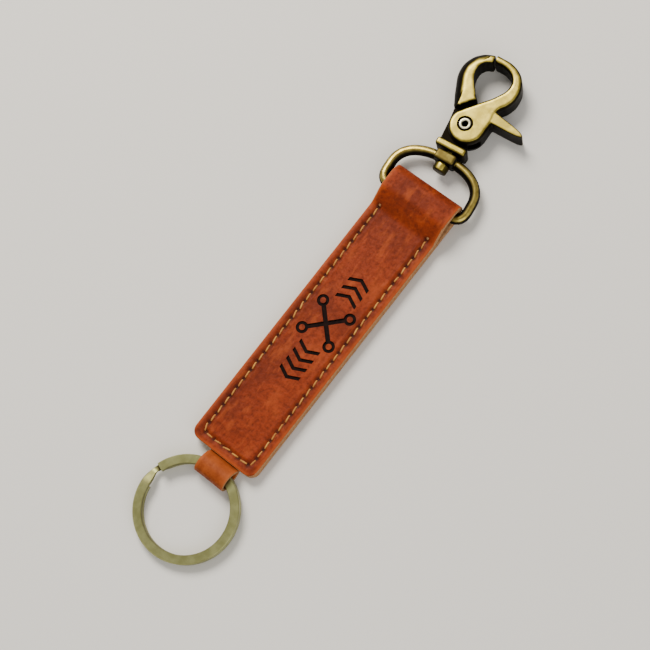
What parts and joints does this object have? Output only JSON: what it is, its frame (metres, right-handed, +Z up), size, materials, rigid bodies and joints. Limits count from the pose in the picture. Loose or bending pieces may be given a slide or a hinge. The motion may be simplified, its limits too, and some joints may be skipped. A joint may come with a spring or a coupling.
{
  "type": "leather strap keychain",
  "caption": "Folded leather strap keychain with a sewn-in tab and split ring at one end and a swivelling trigger snap hook at the other.",
  "frame": {"origin": "centre of the strap's back face, on the surface that the keychain lies on", "axes": "+Y along the strap towards the snap hook, +X across the strap towards the trigger's thumb lever, +Z up out of the strap's face"},
  "size_m": [0.0315, 0.1675, 0.0072],
  "materials": {
    "strap_leather": "reddish tan pull-up leather, burnished and lightly waxed",
    "tab_leather": "lighter orange tan leather, matt",
    "waxed_thread": "golden waxed thread",
    "antique_brass": "antique brass, dark patina in recesses and bright worn tops",
    "ring_brass": "greenish antique brass, satin",
    "spring_steel": "drawn spring wire"
  },
  "bodies": {
    "strap": {"strap": "strap_leather", "face_thread": "waxed_thread", "back_thread": "waxed_thread"},
    "tab": {"ring_tab": "tab_leather"},
    "key_ring": {"split_ring": "ring_brass"},
    "swivel_ring": {"swivel_ring": "antique_brass"},
    "hook": {"hook_body": "antique_brass", "swivel_post": "antique_brass", "pivot_rivet": "antique_brass", "trigger_spring": "spring_steel"},
    "trigger": {"trigger": "antique_brass"}
  },
  "joints": [
    {"name": "tab_flex", "type": "hinge", "parent": "strap", "child": "tab", "pos_m": [0.0014, -0.0476, 0.00185], "axis": [1, 0, 0], "range_deg": [-50, 50], "stiffness_Nm_per_rad": 0.02, "deforming": ["ring_tab"]},
    {"name": "ring_swing", "type": "hinge", "parent": "tab", "child": "key_ring", "pos_m": [0.0014, -0.051, 0.003], "axis": [1, 0, 0], "range_deg": [-20, 20]},
    {"name": "swivel_ring_swing", "type": "hinge", "parent": "strap", "child": "swivel_ring", "pos_m": [0, 0.04205, 0.0036], "axis": [0.9942, 0.108, 0], "range_deg": [-120, 120]},
    {"name": "hook_swivel", "type": "hinge", "parent": "swivel_ring", "child": "hook", "pos_m": [0, 0.04205, 0.0036], "axis": [-0.108, 0.9942, 0], "continuous": true},
    {"name": "trigger_pivot", "type": "hinge", "parent": "hook", "child": "trigger", "pos_m": [-0.00266, 0.06651, 0.0036], "axis": [0, 0, 1], "range_deg": [-25, 0], "stiffness_Nm_per_rad": 0.02, "springref_deg": 14.9, "deforming": ["trigger_spring"]}
  ]
}
